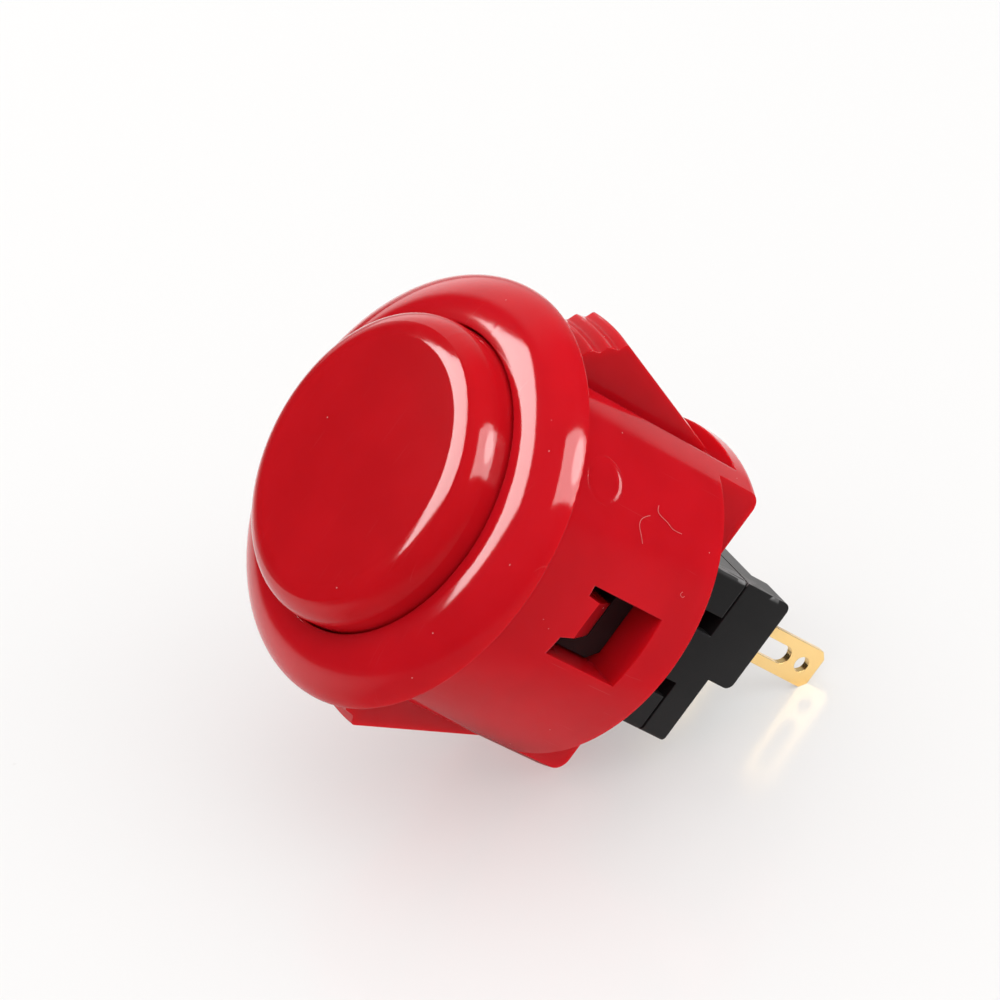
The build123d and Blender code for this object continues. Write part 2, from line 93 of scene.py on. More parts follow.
# %% [markdown]
# ## The camera
#
# The picture is taken from above the right-hand side with a long lens, which keeps the round face from
# stretching. A camera could be aimed with a constraint, but here the button lies on its side, so up in
# the picture isn't up on the button. It is plainer to write the camera's own axes into its matrix.

# %% Camera
LENS = 180.0
SENSOR = 36.0
CAMERA_PLACE = Vector((0.05495, -0.23095, 0.19113))
CAMERA_RIGHT = Vector((0.57877, -0.44725, -0.68190))
CAMERA_UP = Vector((0.79704, 0.48712, 0.35699))

camera = bpy.data.objects.new("camera", bpy.data.cameras.new("camera"))
scene.collection.objects.link(camera)
scene.camera = camera
camera.data.lens = LENS
camera.data.sensor_width = SENSOR
camera.data.clip_start = 0.01
camera_back = CAMERA_RIGHT.cross(CAMERA_UP).normalized()
axes = Matrix((CAMERA_RIGHT, CAMERA_UP, camera_back)).transposed()
camera.matrix_world = Matrix.Translation(CAMERA_PLACE) @ axes.to_4x4()
print("camera at", [round(v, 3) for v in CAMERA_PLACE], "m")

# %% [markdown]
# ## How the button lies
#
# A button with its switch on doesn't stand on its face. It lies on the tips of its two terminals and on
# the edge of one rear ear. The floor is the plane through those points. It could be measured by hand, but
# the meshes know the answer: tilt the floor until the lowest point of the terminals and the lowest point
# of the housing are level. Halving the range of angles again and again finds that tilt.


# %% Floor plane
def lowest(names, up):
    """Height of the lowest vertex of the named nodes, measured along up."""
    return min(vertex.co.dot(up) for name in names for vertex in nodes[name].data.vertices)


def tilted(angle):
    """The floor's upward direction when the button leans over by an angle."""
    return Vector((math.sin(angle), 0.0, math.cos(angle)))


LEAN_RANGE = (math.radians(25.0), math.radians(65.0))
HALVINGS = 30
low, high = LEAN_RANGE
for _ in range(HALVINGS):
    lean = (low + high) / 2
    blades = lowest(["terminal_near", "terminal_far"], tilted(lean))
    rear_ear = lowest(["housing"], tilted(lean))
    if blades < rear_ear:
        low = lean
    else:
        high = lean
floor_up = tilted(lean)
floor_height = lowest(["housing", "terminal_near"], floor_up)
floor_back = -camera_back + camera_back.dot(floor_up) * floor_up
floor_back.normalize()
floor_right = floor_back.cross(floor_up)
print("the button leans", round(math.degrees(lean), 2), "degrees")
print("camera looks down by", round(math.degrees(math.asin(camera_back.dot(floor_up))), 1), "degrees")

# %% [markdown]
# ## Writing shaders as sums
#
# A material in Blender is a graph of nodes. Built call by call, even `1 - mask` takes four lines. The
# small class below holds one output socket and knows what plus, minus, times and so on mean, so that the
# graph can be written as the formula that it stands for. The second class is the tree itself. Its one
# method adds any node: first the settings, because some of them decide which sockets exist, then the
# values and links. The third adds what a material and a world have in common, which is that all of it
# ends in one surface.


# %% Sockets with arithmetic
class Wire:
    """One output socket. Arithmetic on it adds a Math node to the same tree."""

    def __init__(self, finish, socket):
        self.finish = finish
        self.socket = socket

    def math(self, operation, *others, first=None):
        values = [self if first is None else first, *(others if first is None else [self])]
        return self.finish.node("ShaderNodeMath", {"operation": operation}, dict(enumerate(values)))

    def __add__(self, other):
        return self.math("ADD", other)

    def __radd__(self, other):
        return self.math("ADD", other)

    def __sub__(self, other):
        return self.math("SUBTRACT", other)

    def __rsub__(self, other):
        return self.math("SUBTRACT", first=other)

    def __mul__(self, other):
        return self.math("MULTIPLY", other)

    def __rmul__(self, other):
        return self.math("MULTIPLY", other)

    def __gt__(self, other):
        return self.math("GREATER_THAN", other)

    def __lt__(self, other):
        return self.math("LESS_THAN", other)

    def __pow__(self, other):
        return self.math("POWER", other)

    def largest(self, other):
        return self.math("MAXIMUM", other)


class Graph:
    """A node tree of a material, a world or a modifier, with one method that adds any node."""

    def __init__(self, tree):
        self.tree = tree
        self.tree.nodes.clear()

    def node(self, kind, settings=None, sockets=None, output=0):
        made = self.tree.nodes.new(kind)
        for key, value in (settings or {}).items():
            setattr(made, key, value)
        for key, value in (sockets or {}).items():
            self.feed(self.pick(made.inputs, key), value)
        return Wire(self, self.pick(made.outputs, output)) if made.outputs else None

    def pick(self, sockets, key):
        if isinstance(key, int):
            return sockets[key]
        return next(s for s in sockets if s.identifier == key or (s.name == key and s.enabled))

    def feed(self, socket, value):
        if isinstance(value, Wire):
            self.tree.links.new(value.socket, socket)
        else:
            socket.default_value = value


class Finish(Graph):
    """The node tree of a material or a world, which ends in one surface shader."""

    def __init__(self, owner):
        owner.use_nodes = True
        self.owner = owner
        super().__init__(owner.node_tree)

    def close(self, kind, shader):
        self.node(kind, None, {"Surface": shader})
        return self.owner


def material(name):
    return Finish(bpy.data.materials.new(name))


print("shader classes ready")

# %% [markdown]
# ## Words for a surface
#
# The finishes below share a few words: noise of a certain grain, a blend of two colours, fine scratches,
# specks. A grain is given in millimetres, as a maker would say it, and turned into the texture's scale.
# Every finish ends in the same kind of surface, so that has a word too.


# %% Shared shader words
def object_place(finish):
    """Where a point lies on the piece, in metres."""
    return finish.node("ShaderNodeTexCoord", output="Object")


def grain(finish, place, size, detail=2.0, rough=0.5):
    """Soft noise from 0 to 1 whose lumps are about a size in millimetres."""
    sockets = {"Vector": place, "Scale": 1.0 / (size * MM), "Detail": detail, "Roughness": rough}
    return finish.node("ShaderNodeTexNoise", {"noise_dimensions": "3D"}, sockets, "Fac")


def step(finish, value, low, high):
    """Rises smoothly from 0 to 1 while the value goes from low to high."""
    sockets = {"Value": value, "From Min": low, "From Max": high}
    return finish.node("ShaderNodeMapRange", {"interpolation_type": "SMOOTHSTEP"}, sockets, "Result")


def blend(finish, share, colour, other):
    """Colour that goes over into the other by a share."""
    sockets = {"Factor_Float": share, "A_Color": colour, "B_Color": other}
    return finish.node("ShaderNodeMix", {"data_type": "RGBA"}, sockets, "Result_Color")


def stretched(finish, place, turn, scale):
    """The same place, turned and stretched, for patterns that have a direction."""
    sockets = {"Vector": place, "Rotation": turn, "Scale": scale}
    return finish.node("ShaderNodeMapping", {"vector_type": "POINT"}, sockets, "Vector")


def hairlines(finish, place, turn, length, width, amount):
    """Mask of fine straight scratches, from a noise that is drawn out in one direction."""
    drawn = stretched(finish, place, turn, (1.0 / (length * MM), 1.0 / (width * MM), 1.0 / (length * MM)))
    sockets = {"Vector": drawn, "Scale": 1.0, "Detail": 0.0}
    lines = finish.node("ShaderNodeTexNoise", {"noise_dimensions": "3D"}, sockets, "Fac")
    return step(finish, lines, 1.0 - amount, 1.03 - amount)


def specks(finish, place, spacing, size, share):
    """Mask of small dots: a few of the cells in a cell pattern get a dot at their centre."""
    sockets = {"Vector": place, "Scale": 1.0 / (spacing * MM)}
    settings = {"voronoi_dimensions": "3D", "feature": "F1"}
    reach = finish.node("ShaderNodeTexVoronoi", settings, sockets, "Distance")
    chance = finish.node("ShaderNodeTexVoronoi", settings, sockets, "Color")
    draw = finish.node("ShaderNodeSeparateColor", None, {"Color": chance}, "Red")
    return (reach < size / spacing) * (draw > 1.0 - share)


def along(finish, place, direction):
    """How far a place lies along a direction."""
    sockets = {0: place, 1: direction}
    return finish.node("ShaderNodeVectorMath", {"operation": "DOT_PRODUCT"}, sockets, "Value")


def gap_to(finish, place, other):
    """Distance of a place from another."""
    sockets = {0: place, 1: other}
    return finish.node("ShaderNodeVectorMath", {"operation": "DISTANCE"}, sockets, "Value")


def soft_edges(finish, radius):
    """Normal that rounds each sharp edge by a radius in millimetres, as a mould's edges are."""
    return finish.node("ShaderNodeBevel", {"samples": 6}, {"Radius": radius * MM}, "Normal")


def relief(finish, height, depth, normal):
    """Normal of a surface whose height, from 0 to 1, stands for a depth in millimetres."""
    sockets = {"Strength": 1.0, "Distance": depth * MM, "Height": height, "Normal": normal}
    return finish.node("ShaderNodeBump", None, sockets, "Normal")


def surfaced(finish, sockets):
    """Ends a material in one all-round surface shader and gives the material back."""
    surface = finish.node("ShaderNodeBsdfPrincipled", None, sockets, "BSDF")
    return finish.close("ShaderNodeOutputMaterial", surface)


print("shared shader words ready")

# %% [markdown]
# ## Red plastic
#
# Housing and cap are moulded in a strong red that is coloured right through. The mould was polished, so
# the skin is glossy, but never like glass: it has a faint orange peel, tiny dull spots and hairline
# scratches from handling. A flat red would look like a drawing. Three small variations make it plastic:
# the pigment drifts a little, the gloss varies in fine patches, and the scratches catch light because
# they are rougher than the skin. Light also wanders a little way inside before it comes out again. That
# is why the groove round the cap and the walls of the window stay red instead of black. On the housing,
# the round pad where the mould was filled is so low that the solid alone hardly shows it. Its face is a
# little dished, and a soft relief draws the rim of the dish.


# %% Red plastic
GATE_ANGLE = math.radians(-48.0)
GATE_LEVEL = -3.7 * MM
GATE_REACH = 11.9 * MM
GATE_PLACE = (GATE_REACH * math.cos(GATE_ANGLE), GATE_REACH * math.sin(GATE_ANGLE), GATE_LEVEL)
PAD_RADIUS = 1.55 * MM
DISH_RADIUS = 1.10 * MM
# Depths and edge radii are in millimetres, as the words for relief and soft edges take them
DISH_DEPTH = 0.035
PEEL_DEPTH = 0.0022
MOULD_EDGE = 0.10
SCRATCH_COLOUR = (0.75, 0.30, 0.30, 1.0)


def red_plastic(name, deep, bright, gloss, scratch_turns, gate=None):
    """A moulded red that drifts from deep to bright. The gate is the middle of the round pad."""
    finish = material(name)
    place = object_place(finish)
    drift = grain(finish, place, size=5.0)
    peel = grain(finish, place, size=0.7)
    patches = grain(finish, place, size=1.6, detail=4.0, rough=0.65)
    scratches = hairlines(finish, place, scratch_turns[0], length=5.0, width=0.06, amount=0.165)
    for turn in scratch_turns[1:]:
        finer = hairlines(finish, place, turn, length=4.0, width=0.05, amount=0.155)
        scratches = scratches.largest(finer)
    colour = blend(finish, step(finish, drift, 0.3, 0.7), deep, bright)
    skin_height = peel * 0.7 + patches * 0.3
    normal = relief(finish, skin_height, PEEL_DEPTH, soft_edges(finish, MOULD_EDGE))
    if gate:
        rim = step(finish, gap_to(finish, place, gate), DISH_RADIUS, PAD_RADIUS)
        normal = relief(finish, rim, DISH_DEPTH, normal)
    sockets = {
        "Base Color": blend(finish, scratches * 0.06, colour, SCRATCH_COLOUR),
        "Roughness": gloss + patches * 0.03 + scratches * 0.06,
        "Normal": normal,
        "IOR": 1.54,
        "Subsurface Weight": 0.65,
        "Subsurface Radius": (1.0, 0.22, 0.18),
        "Subsurface Scale": 1.8 * MM,
    }
    return surfaced(finish, sockets)


HOUSING_TURNS = [(0.3, 0.2, 0.9), (1.2, 0.4, 2.1)]
CAP_TURNS = [(0.0, 0.0, 1.95), (0.1, 0.0, 0.35), (0.0, 0.1, 2.7)]
HOUSING_REDS = [(0.560, 0.0055, 0.0120, 1.0), (0.610, 0.0065, 0.0140, 1.0)]
# Painted shade: the cap's two reds are a little darker than the housing's, for its face turned away from
# the lights; the plastic is the same.
SHADED_CAP_REDS = [(0.530, 0.0050, 0.0100, 1.0), (0.570, 0.0058, 0.0115, 1.0)]
finishes = {
    "red_plastic": red_plastic("gloss_red_body", *HOUSING_REDS, 0.075, HOUSING_TURNS, GATE_PLACE),
    "red_plastic_cap": red_plastic("gloss_red_cap_shaded", *SHADED_CAP_REDS, 0.070, CAP_TURNS),
}
print("red finishes:", [m.name for m in finishes.values()])

# %% [markdown]
# ## Black plastic
#
# The microswitch is moulded in a black, glass-filled plastic. Its mould was spark-eroded, not polished,
# so the skin has a fine even grain and a dull sheen. Handling leaves grey rub marks, mostly across the
# broad faces. The narrow side that faces the lights gets a painted sheen: pale grey streaks in patches
# along its near edge stand in for the light that this side mirrors.

# %% Black plastic
GRAIN_DEPTH = 0.004
DARK_BLACK = (0.0095, 0.0092, 0.0098, 1.0)
PALE_BLACK = (0.0135, 0.0130, 0.0138, 1.0)
RUB_GREY = (0.09, 0.09, 0.092, 1.0)
SPECK_GREY = (0.22, 0.22, 0.22, 1.0)
SHEEN_GREY = (0.38, 0.38, 0.38, 1.0)
black = material("satin_black_case")
place = object_place(black)
# Painted sheen: pale grey streaks, only on the narrow side that faces the lights and along its near edge,
# for the light that side mirrors.
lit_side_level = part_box("switch_base")[1].x
toward_side = along(black, place, (1.0, 0.0, 0.0))
toward_near = along(black, place, (0.0, -1.0, 0.0))
on_lit_side = step(black, toward_side, lit_side_level - 0.35 * MM, lit_side_level - 0.05 * MM)
lit_near_edge = step(black, toward_near, 5.6 * MM, 7.6 * MM)
sheen_patches = step(black, grain(black, place, size=1.9), 0.38, 0.56)
painted_sheen = hairlines(black, place, (0.35, 0.5, 0.25), length=1.6, width=0.14, amount=0.45)
painted_sheen = painted_sheen * sheen_patches * on_lit_side * lit_near_edge
skin_grain = grain(black, place, size=0.10, rough=0.6)
cloud = grain(black, place, size=2.5, detail=3.0, rough=0.6)
rub_lines = hairlines(black, place, (0.5, 0.2, 0.7), length=2.5, width=0.05, amount=0.20)
cross_lines = hairlines(black, place, (1.1, 0.6, 2.0), length=2.0, width=0.05, amount=0.19)
rub_lines = rub_lines.largest(cross_lines)
motes = specks(black, place, spacing=1.1, size=0.03, share=0.12)
black_base = blend(black, cloud, DARK_BLACK, PALE_BLACK)
black_base = blend(black, rub_lines * 0.25, black_base, RUB_GREY)
black_base = blend(black, motes * 0.4, black_base, SPECK_GREY)
# The painted sheen is laid over the black here.
black_base = blend(black, painted_sheen * 0.6, black_base, SHEEN_GREY)
black_sockets = {
    "Base Color": black_base,
    "Roughness": 0.30 + skin_grain * 0.12 + cloud * 0.06 - rub_lines * 0.06,
    "Normal": relief(black, skin_grain, GRAIN_DEPTH, soft_edges(black, MOULD_EDGE)),
    "IOR": 1.5,
}
finishes["black_plastic"] = surfaced(black, black_sockets)
print("black finish:", finishes["black_plastic"].name)

# %% [markdown]
# ## Plated and bare metal
#
# The terminals are punched from brass strip and gold plated. Rolling leaves faint lines along the strip,
# and plating leaves soft patches of gloss. The same recipe, with other colours and other lines, makes the
# brass bridge, the silvery contacts and the drawn steel wire of the springs inside.


# %% Metals
LINE_WIDTH = 0.05 * MM
LINE_DEPTH = 0.0007
PUNCHED_EDGE = 0.06


def strip_metal(name, colour, tarnish, dull, line_turn, line_length):
    """A metal with fine lines along its strip or wire. The lines' length is in millimetres."""
    finish = material(name)
    place = object_place(finish)
    line_scale = (1.0 / LINE_WIDTH, 1.0 / LINE_WIDTH, 1.0 / (line_length * MM))
    lines_place = stretched(finish, place, line_turn, line_scale)
    sockets = {"Vector": lines_place, "Scale": 1.0, "Detail": 3.0}
    rolled = finish.node("ShaderNodeTexNoise", {"noise_dimensions": "3D"}, sockets, "Fac")
    patches = grain(finish, place, size=0.8, detail=3.0, rough=0.6)
    share = step(finish, patches, 0.40, 0.90) * 0.18
    sockets = {
        "Base Color": blend(finish, share, colour, tarnish),
        "Metallic": 1.0,
        "Roughness": dull + rolled * 0.05 + patches * 0.06,
        "Normal": relief(finish, rolled, LINE_DEPTH, soft_edges(finish, PUNCHED_EDGE)),
    }
    return surfaced(finish, sockets)


ALONG_Z = (0.0, 0.0, 0.0)
ALONG_Y = (math.pi / 2, 0.0, 0.0)
finishes["gold_plated_brass"] = strip_metal(
    "gold_plating", (1.0, 0.715, 0.310, 1.0), (0.92, 0.57, 0.21, 1.0), 0.17, ALONG_Z, 4.0
)
finishes["bridge_brass"] = strip_metal(
    "rolled_brass", (0.83, 0.60, 0.26, 1.0), (0.55, 0.36, 0.14, 1.0), 0.25, ALONG_Y, 3.0
)
finishes["contact_metal"] = strip_metal(
    "silver_contact", (0.88, 0.87, 0.84, 1.0), (0.55, 0.52, 0.47, 1.0), 0.22, ALONG_Z, 0.3
)
finishes["spring_steel"] = strip_metal(
    "drawn_wire", (0.62, 0.62, 0.63, 1.0), (0.40, 0.39, 0.38, 1.0), 0.24, ALONG_Z, 0.2
)
print("all finishes:", [m.name for m in finishes.values()])

# %% [markdown]
# ## Dressing the solids
#
# Each solid already carries the name of its material. The solid stays as it is, and only what is in its
# material slot changes.

# %% Materials on the solids
for name, node in nodes.items():
    wanted = node.data.materials[0].name.split(".")[0]
    node.data.materials[0] = finishes[wanted]
    print(name, "gets", finishes[wanted].name)

# %% [markdown]
# ## Spring copies
#
# Two coil springs inside shorten when the cap goes down. A solid can't do that, so a copy of each spring
# stands in for it and rides on the piece that carries it, while the solid is hidden. The share of its
# length that a copy would keep at the end of its joint's travel is worked out and printed, but the copy
# keeps its full length. The return spring stands on the switch's floor, and the contact spring hangs
# from the actuator.


# %% Springs
def working_spring(name, body, joint_name):
    """Copy of a spring that rides on a body. Prints the share of its length that its joint's travel
    leaves.
    """
    spring = bpy.data.objects.new(name + "_coil", nodes[name].data.copy())
    scene.collection.objects.link(spring)
    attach(spring, body)
    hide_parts(name)
    bottom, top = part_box(name)
    travel = next(max(joint["range_m"]) for joint in frame["joints"] if joint["name"] == joint_name)
    kept = 1.0 - travel / (top.z - bottom.z)
    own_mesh(spring)
    print(spring.name, "keeps", round(kept, 3), "of its length when the cap is down")


working_spring("return_spring", "housing", "actuator_slide")
working_spring("contact_spring", "actuator", "bridge_slide")

# %% [markdown]
# ## Lint
#
# Two short fibres cling to the side of the body, and a third has curled up. A fibre is a curve with a
# thin round section. Its points are written as the angle round the body and the level along it, because
# that is how one would describe the place to somebody else. A curve object can do all of it, and its mesh
# is kept.

# %% Lint fibres
BODY_RADIUS = 11.86
FIBRE_RADIUS = 0.020
FIBRES = {
    "lint_long": [
        (-47.0, -8.5), (-48.9, -8.4), (-50.0, -8.9), (-50.6, -9.5), (-52.1, -10.0), (-51.7, -10.8),
    ],
    "lint_short": [(-51.3, -7.9), (-52.7, -7.3), (-55.4, -7.1), (-58.0, -7.5), (-60.2, -7.8)],
    "lint_curl": [(-67.4, -12.2), (-68.0, -12.05), (-68.8, -12.15), (-68.9, -12.4), (-68.3, -12.45)],
}

fluff = material("lint_fluff")
fluff_tone = grain(fluff, object_place(fluff), size=0.4)
fluff_colour = blend(fluff, fluff_tone, (0.62, 0.07, 0.08, 1.0), (0.74, 0.24, 0.23, 1.0))
surfaced(fluff, {"Base Color": fluff_colour, "Roughness": 0.7})


def on_body(angle, level):
    """Place on the body's wall, lifted so that a fibre lies on it."""
    reach = (BODY_RADIUS + FIBRE_RADIUS) * MM
    turn = math.radians(angle)
    return (reach * math.cos(turn), reach * math.sin(turn), level * MM)


def plain_mesh(name, maker):
    """Object with the finished mesh of a curve or a modifier. The object that made it goes away."""
    scene.collection.objects.link(maker)
    ready = maker.evaluated_get(bpy.context.evaluated_depsgraph_get())
    mesh = bpy.data.meshes.new_from_object(ready)
    bpy.data.objects.remove(maker)
    made = bpy.data.objects.new(name, mesh)
    scene.collection.objects.link(made)
    return made


for name, places in FIBRES.items():
    thread = bpy.data.curves.new(name + "_curve", "CURVE")
    thread.dimensions = "3D"
    thread.bevel_depth = FIBRE_RADIUS * MM
    thread.bevel_resolution = 2
    thread.use_fill_caps = True
    thread.materials.append(fluff.owner)
    line = thread.splines.new("NURBS")
    line.points.add(len(places) - 1)
    for point, (angle, level) in zip(line.points, places):
        point.co = (*on_body(angle, level), 1.0)
    line.order_u = 3
    line.use_endpoint_u = True
    fibre = plain_mesh(name, bpy.data.objects.new(name + "_curve", thread))
    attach(fibre, "housing")
    print(name, "has", len(fibre.data.polygons), "faces")

# %% [markdown]
# ## Dust
#
# Dust follows a rule: flakes fall anywhere, at random, and lie flat on what they fall on. So it is
# scattered by geometry nodes. The tree takes a solid, keeps the faces of its outer skin, spreads points
# on them with a fixed seed and puts a flattened grain on each. Its inputs have names, so that one tree
# serves both moulded pieces. The result becomes a plain mesh that rides on its piece.

# %% Dust tree
dust_tree = bpy.data.node_groups.new("dust", "GeometryNodeTree")
dust_tree.interface.new_socket("Geometry", in_out="OUTPUT", socket_type="NodeSocketGeometry")
DUST_INPUTS = {
    "Piece": "NodeSocketObject",
    "Flakes": "NodeSocketFloat",
    "Axis distance": "NodeSocketFloat",
    "Level": "NodeSocketFloat",
    "Seed": "NodeSocketInt",
    "Finish": "NodeSocketMaterial",
}
dust_keys = {
    name: dust_tree.interface.new_socket(name, in_out="INPUT", socket_type=kind).identifier
    for name, kind in DUST_INPUTS.items()
}
dust = Graph(dust_tree)


def dust_input(name):
    """One named input of the tree."""
    return dust.node("NodeGroupInput", output=name)


piece = dust.node("GeometryNodeObjectInfo", None, {"Object": dust_input("Piece")}, "Geometry")
where = dust.node("GeometryNodeInputPosition", output="Position")
level_sockets = {0: where, 1: (1.0, 1.0, 0.0)}
flat = dust.node("ShaderNodeVectorMath", {"operation": "MULTIPLY"}, level_sockets, "Vector")
reach = dust.node("ShaderNodeVectorMath", {"operation": "LENGTH"}, {0: flat}, "Value")
height = dust.node("ShaderNodeSeparateXYZ", None, {0: where}, "Z")
outer = (reach > dust_input("Axis distance")) * (height > dust_input("Level"))
spread_sockets = {
    "Mesh": piece,
    "Selection": outer,
    "Density": dust_input("Flakes"),
    "Seed": dust_input("Seed"),
}
points = dust.node("GeometryNodeDistributePointsOnFaces", None, spread_sockets, "Points")
lie = Wire(dust, points.socket.node.outputs["Rotation"])
SMALLEST_FLAKE = (0.016 * MM, 0.012 * MM, 0.004 * MM)
LARGEST_FLAKE = (0.055 * MM, 0.035 * MM, 0.010 * MM)
size_sockets = {"Min": SMALLEST_FLAKE, "Max": LARGEST_FLAKE}
sizes = dust.node("FunctionNodeRandomValue", {"data_type": "FLOAT_VECTOR"}, size_sockets, "Value")
flake = dust.node("GeometryNodeMeshIcoSphere", None, {"Radius": 1.0, "Subdivisions": 2}, "Mesh")
place_sockets = {"Points": points, "Instance": flake, "Rotation": lie, "Scale": sizes}
flakes = dust.node("GeometryNodeInstanceOnPoints", None, place_sockets, "Instances")
solid_flakes = dust.node("GeometryNodeRealizeInstances", None, {"Geometry": flakes}, "Geometry")
finish_sockets = {"Geometry": solid_flakes, "Material": dust_input("Finish")}
dressed = dust.node("GeometryNodeSetMaterial", None, finish_sockets, "Geometry")
dust.node("NodeGroupOutput", None, {"Geometry": dressed})
print("dust tree has", len(dust_tree.nodes), "nodes")

# %% Dust on the housing and on the cap
powder = material("dust_flakes")
powder_tone = grain(powder, object_place(powder), size=0.8)
powder_colour = blend(powder, powder_tone, (0.66, 0.32, 0.30, 1.0), (0.82, 0.66, 0.63, 1.0))
surfaced(powder, {"Base Color": powder_colour, "Roughness": 0.85})
DUST_PLACES = {
    "housing": {"Flakes": 0.020 / MM ** 2, "Axis distance": 10.6 * MM, "Level": -18.0 * MM, "Seed": 7},
    "plunger": {"Flakes": 0.030 / MM ** 2, "Axis distance": 0.0, "Level": 4.2 * MM, "Seed": 3},
}
for name, settings in DUST_PLACES.items():
    sower = bpy.data.objects.new("sower", bpy.data.meshes.new("sower"))
    scatter = sower.modifiers.new("dust", "NODES")
    scatter.node_group = dust_tree
    for key, value in {**settings, "Piece": nodes[name], "Finish": powder.owner}.items():
        scatter[dust_keys[key]] = value
    settled = plain_mesh("dust_on_" + name, sower)
    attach(settled, name)
    print(settled.name, "has", len(settled.data.polygons), "faces")

# %% [markdown]
# ## The floor
#
# The button lies on a smooth white sheet on a light table. It is a large disc in the floor's plane, with
# a gentle gloss that mirrors what touches it and a glow of its own, which keeps the shadows light. As the
# table throws more light up than the picture can show, the glow is stronger for light on its way to the
# button than for the camera. The sheet's edge fades out, so that it has no visible border from any side,
# and from below it can't be seen at all, so that the button's underside can be looked at.

# %% Floor disc
FLOOR_RADIUS = 0.30
FADE_FROM = 0.16
FLOOR_SIDES = 96
ring = [i * 2 * math.pi / FLOOR_SIDES for i in range(FLOOR_SIDES)]
corners = [(FLOOR_RADIUS * math.cos(a), FLOOR_RADIUS * math.sin(a), 0.0) for a in ring]
disc = bpy.data.meshes.new("floor")
disc.from_pydata(corners, [], [list(range(FLOOR_SIDES))])
floor = bpy.data.objects.new("floor", disc)
scene.collection.objects.link(floor)
middle = (cad_box[0] + cad_box[1]) / 2
foot = middle + (floor_height - middle.dot(floor_up)) * floor_up
floor_axes = Matrix((floor_right, floor_back, floor_up)).transposed()
floor.matrix_world = Matrix.Translation(foot) @ floor_axes.to_4x4()
print("floor lies", round(floor_height / MM, 2), "mm along its own upward axis")

# %% Floor finish
SHEET_TONE = (0.47, 0.468, 0.465, 1.0)
MARK_TONE = (0.31, 0.30, 0.29, 1.0)
GLOW_SEEN = (0.410, 0.407, 0.403, 1.0)
GLOW_ON_BUTTON = (0.600, 0.594, 0.588, 1.0)
sheet = material("white_sheet")
place = object_place(sheet)
spread = sheet.node("ShaderNodeVectorMath", {"operation": "LENGTH"}, {"Vector": place}, "Value")
marks = specks(sheet, place, spacing=6.0, size=0.12, share=0.06)
bounced = sheet.node("ShaderNodeLightPath", output="Is Diffuse Ray")
sheet_sockets = {
    "Base Color": blend(sheet, marks * 0.25, SHEET_TONE, MARK_TONE),
    "Roughness": 0.20,
    "IOR": 1.5,
    "Emission Color": blend(sheet, bounced, GLOW_SEEN, GLOW_ON_BUTTON),
    "Emission Strength": 1.0,
}
paper = sheet.node("ShaderNodeBsdfPrincipled", None, sheet_sockets, "BSDF")
print("sheet finish has", len(sheet.tree.nodes), "nodes so far")

# %% [markdown]
# ## The floor in reflections
#
# A white floor also shows in the red gloss and makes it pale. A photographer keeps that off with black
# card round the picture. Here the light path does it: a ray that comes from a reflection finds the sheet
# dark in front, paler towards the rear left and in a wedge behind, and half white close under the button.
# A small white card by the terminals stays, because gold is only as bright as what it mirrors.

# %% Floor in reflections
QUARTER_TURN = 90.0
PALE_BEARING = -35.0
WEDGE_FROM = -20.0
WEDGE_TO = 49.0
FRONT_WHITE = 0.11
REAR_WHITE = 0.98
WEDGE_WHITE = 0.40
CARD_PLACE = (17.5 * MM, 3.0 * MM, 0.0)
CARD_WHITE = (0.90, 0.89, 0.88, 1.0)
CARD_BLACK = (0.0, 0.0, 0.0, 1.0)


def sheet_in_gloss(finish, direction, axis, nearness):
    """Share of white that a reflection finds on the sheet. The axis turns a bearing into a vector."""
    rear_left = along(finish, direction, axis(PALE_BEARING)).largest(0.0)
    before_edge = step(finish, along(finish, direction, axis(WEDGE_TO - QUARTER_TURN)), -0.012, 0.012)
    past_middle = step(finish, along(finish, direction, axis(WEDGE_FROM + QUARTER_TURN)), -0.05, 0.05)
    sheet_white = (FRONT_WHITE + REAR_WHITE * rear_left) * nearness
    return sheet_white + WEDGE_WHITE * before_edge * past_middle


def floor_axis(bearing):
    """Direction on the floor disc, in the disc's own axes."""
    return (math.sin(math.radians(bearing)), math.cos(math.radians(bearing)), 0.0)


heading = sheet.node("ShaderNodeVectorMath", {"operation": "NORMALIZE"}, {0: place}, "Vector")
white_card = 1.0 - step(sheet, gap_to(sheet, place, CARD_PLACE), 8.0 * MM, 11.0 * MM)
under_button = (1.0 - step(sheet, spread, 10.0 * MM, 26.0 * MM)) * 0.50
nearness = 1.0 - step(sheet, spread, 30.0 * MM, 240.0 * MM)
shown_white = sheet_in_gloss(sheet, heading, floor_axis, nearness)
shown_white = shown_white.largest(under_button).largest(white_card)
card_sockets = {
    "Base Color": blend(sheet, shown_white, CARD_BLACK, CARD_WHITE),
    "Specular IOR Level": 0.0,
    "Roughness": 1.0,
}
carded = sheet.node("ShaderNodeBsdfPrincipled", None, card_sockets, "BSDF")
reflected = sheet.node("ShaderNodeLightPath", output="Is Glossy Ray")
seen = sheet.node("ShaderNodeMixShader", None, {0: reflected, 1: paper, 2: carded}, "Shader")
clear = sheet.node("ShaderNodeBsdfTransparent", output="BSDF")
from_below = sheet.node("ShaderNodeNewGeometry", output="Backfacing")
gone = step(sheet, spread, FADE_FROM, FLOOR_RADIUS).largest(from_below)
faded = sheet.node("ShaderNodeMixShader", None, {0: gone, 1: seen, 2: clear}, "Shader")
disc.materials.append(sheet.close("ShaderNodeOutputMaterial", faded))
print("floor finish:", disc.materials[0].name)

